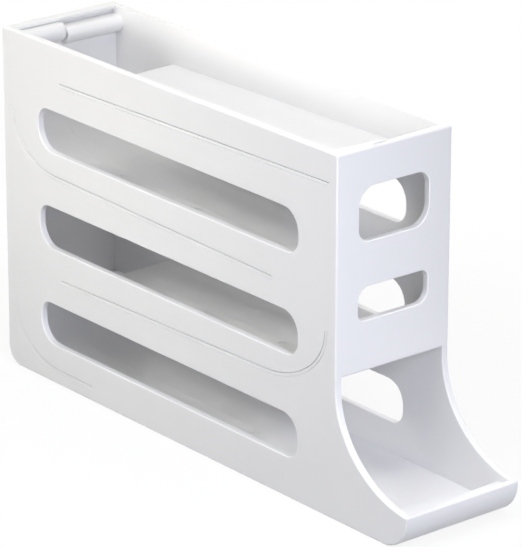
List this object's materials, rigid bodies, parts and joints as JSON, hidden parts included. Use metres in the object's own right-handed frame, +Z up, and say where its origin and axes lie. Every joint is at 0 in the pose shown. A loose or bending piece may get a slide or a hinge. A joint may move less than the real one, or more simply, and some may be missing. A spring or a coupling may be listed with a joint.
{
  "type": "rolling egg dispenser",
  "caption": "White gravity-fed egg dispenser: a slim tall rack with zigzag ramps inside, long side windows, an open top tray and a scooped outlet at the front.",
  "frame": {"origin": "centre of the whole outline in plan, on the surface that the dispenser stands on", "axes": "+Z up; the outlet and the front face look along -Y; +Y runs to the rear along the length; X runs across the width"},
  "size_m": [0.085, 0.378, 0.2195],
  "materials": {
    "side_wall_left": "satin white moulded plastic",
    "side_wall_right": "satin white moulded plastic",
    "front_panel": "satin white moulded plastic",
    "rear_panel": "satin white moulded plastic",
    "outlet_fence": "satin white moulded plastic",
    "ramp_1_left": "satin white moulded plastic",
    "ramp_2_left": "satin white moulded plastic",
    "ramp_3_left": "satin white moulded plastic",
    "ramp_4_left": "satin white moulded plastic",
    "ramp_1_right": "satin white moulded plastic",
    "ramp_2_right": "satin white moulded plastic",
    "ramp_3_right": "satin white moulded plastic",
    "ramp_4_right": "satin white moulded plastic"
  },
  "bodies": {
    "root": {"side_wall_left": "side_wall_left", "side_wall_right": "side_wall_right", "front_panel": "front_panel", "rear_panel": "rear_panel", "outlet_fence": "outlet_fence", "ramp_1_left": "ramp_1_left", "ramp_2_left": "ramp_2_left", "ramp_3_left": "ramp_3_left", "ramp_4_left": "ramp_4_left", "ramp_1_right": "ramp_1_right", "ramp_2_right": "ramp_2_right", "ramp_3_right": "ramp_3_right", "ramp_4_right": "ramp_4_right"}
  },
  "joints": []
}
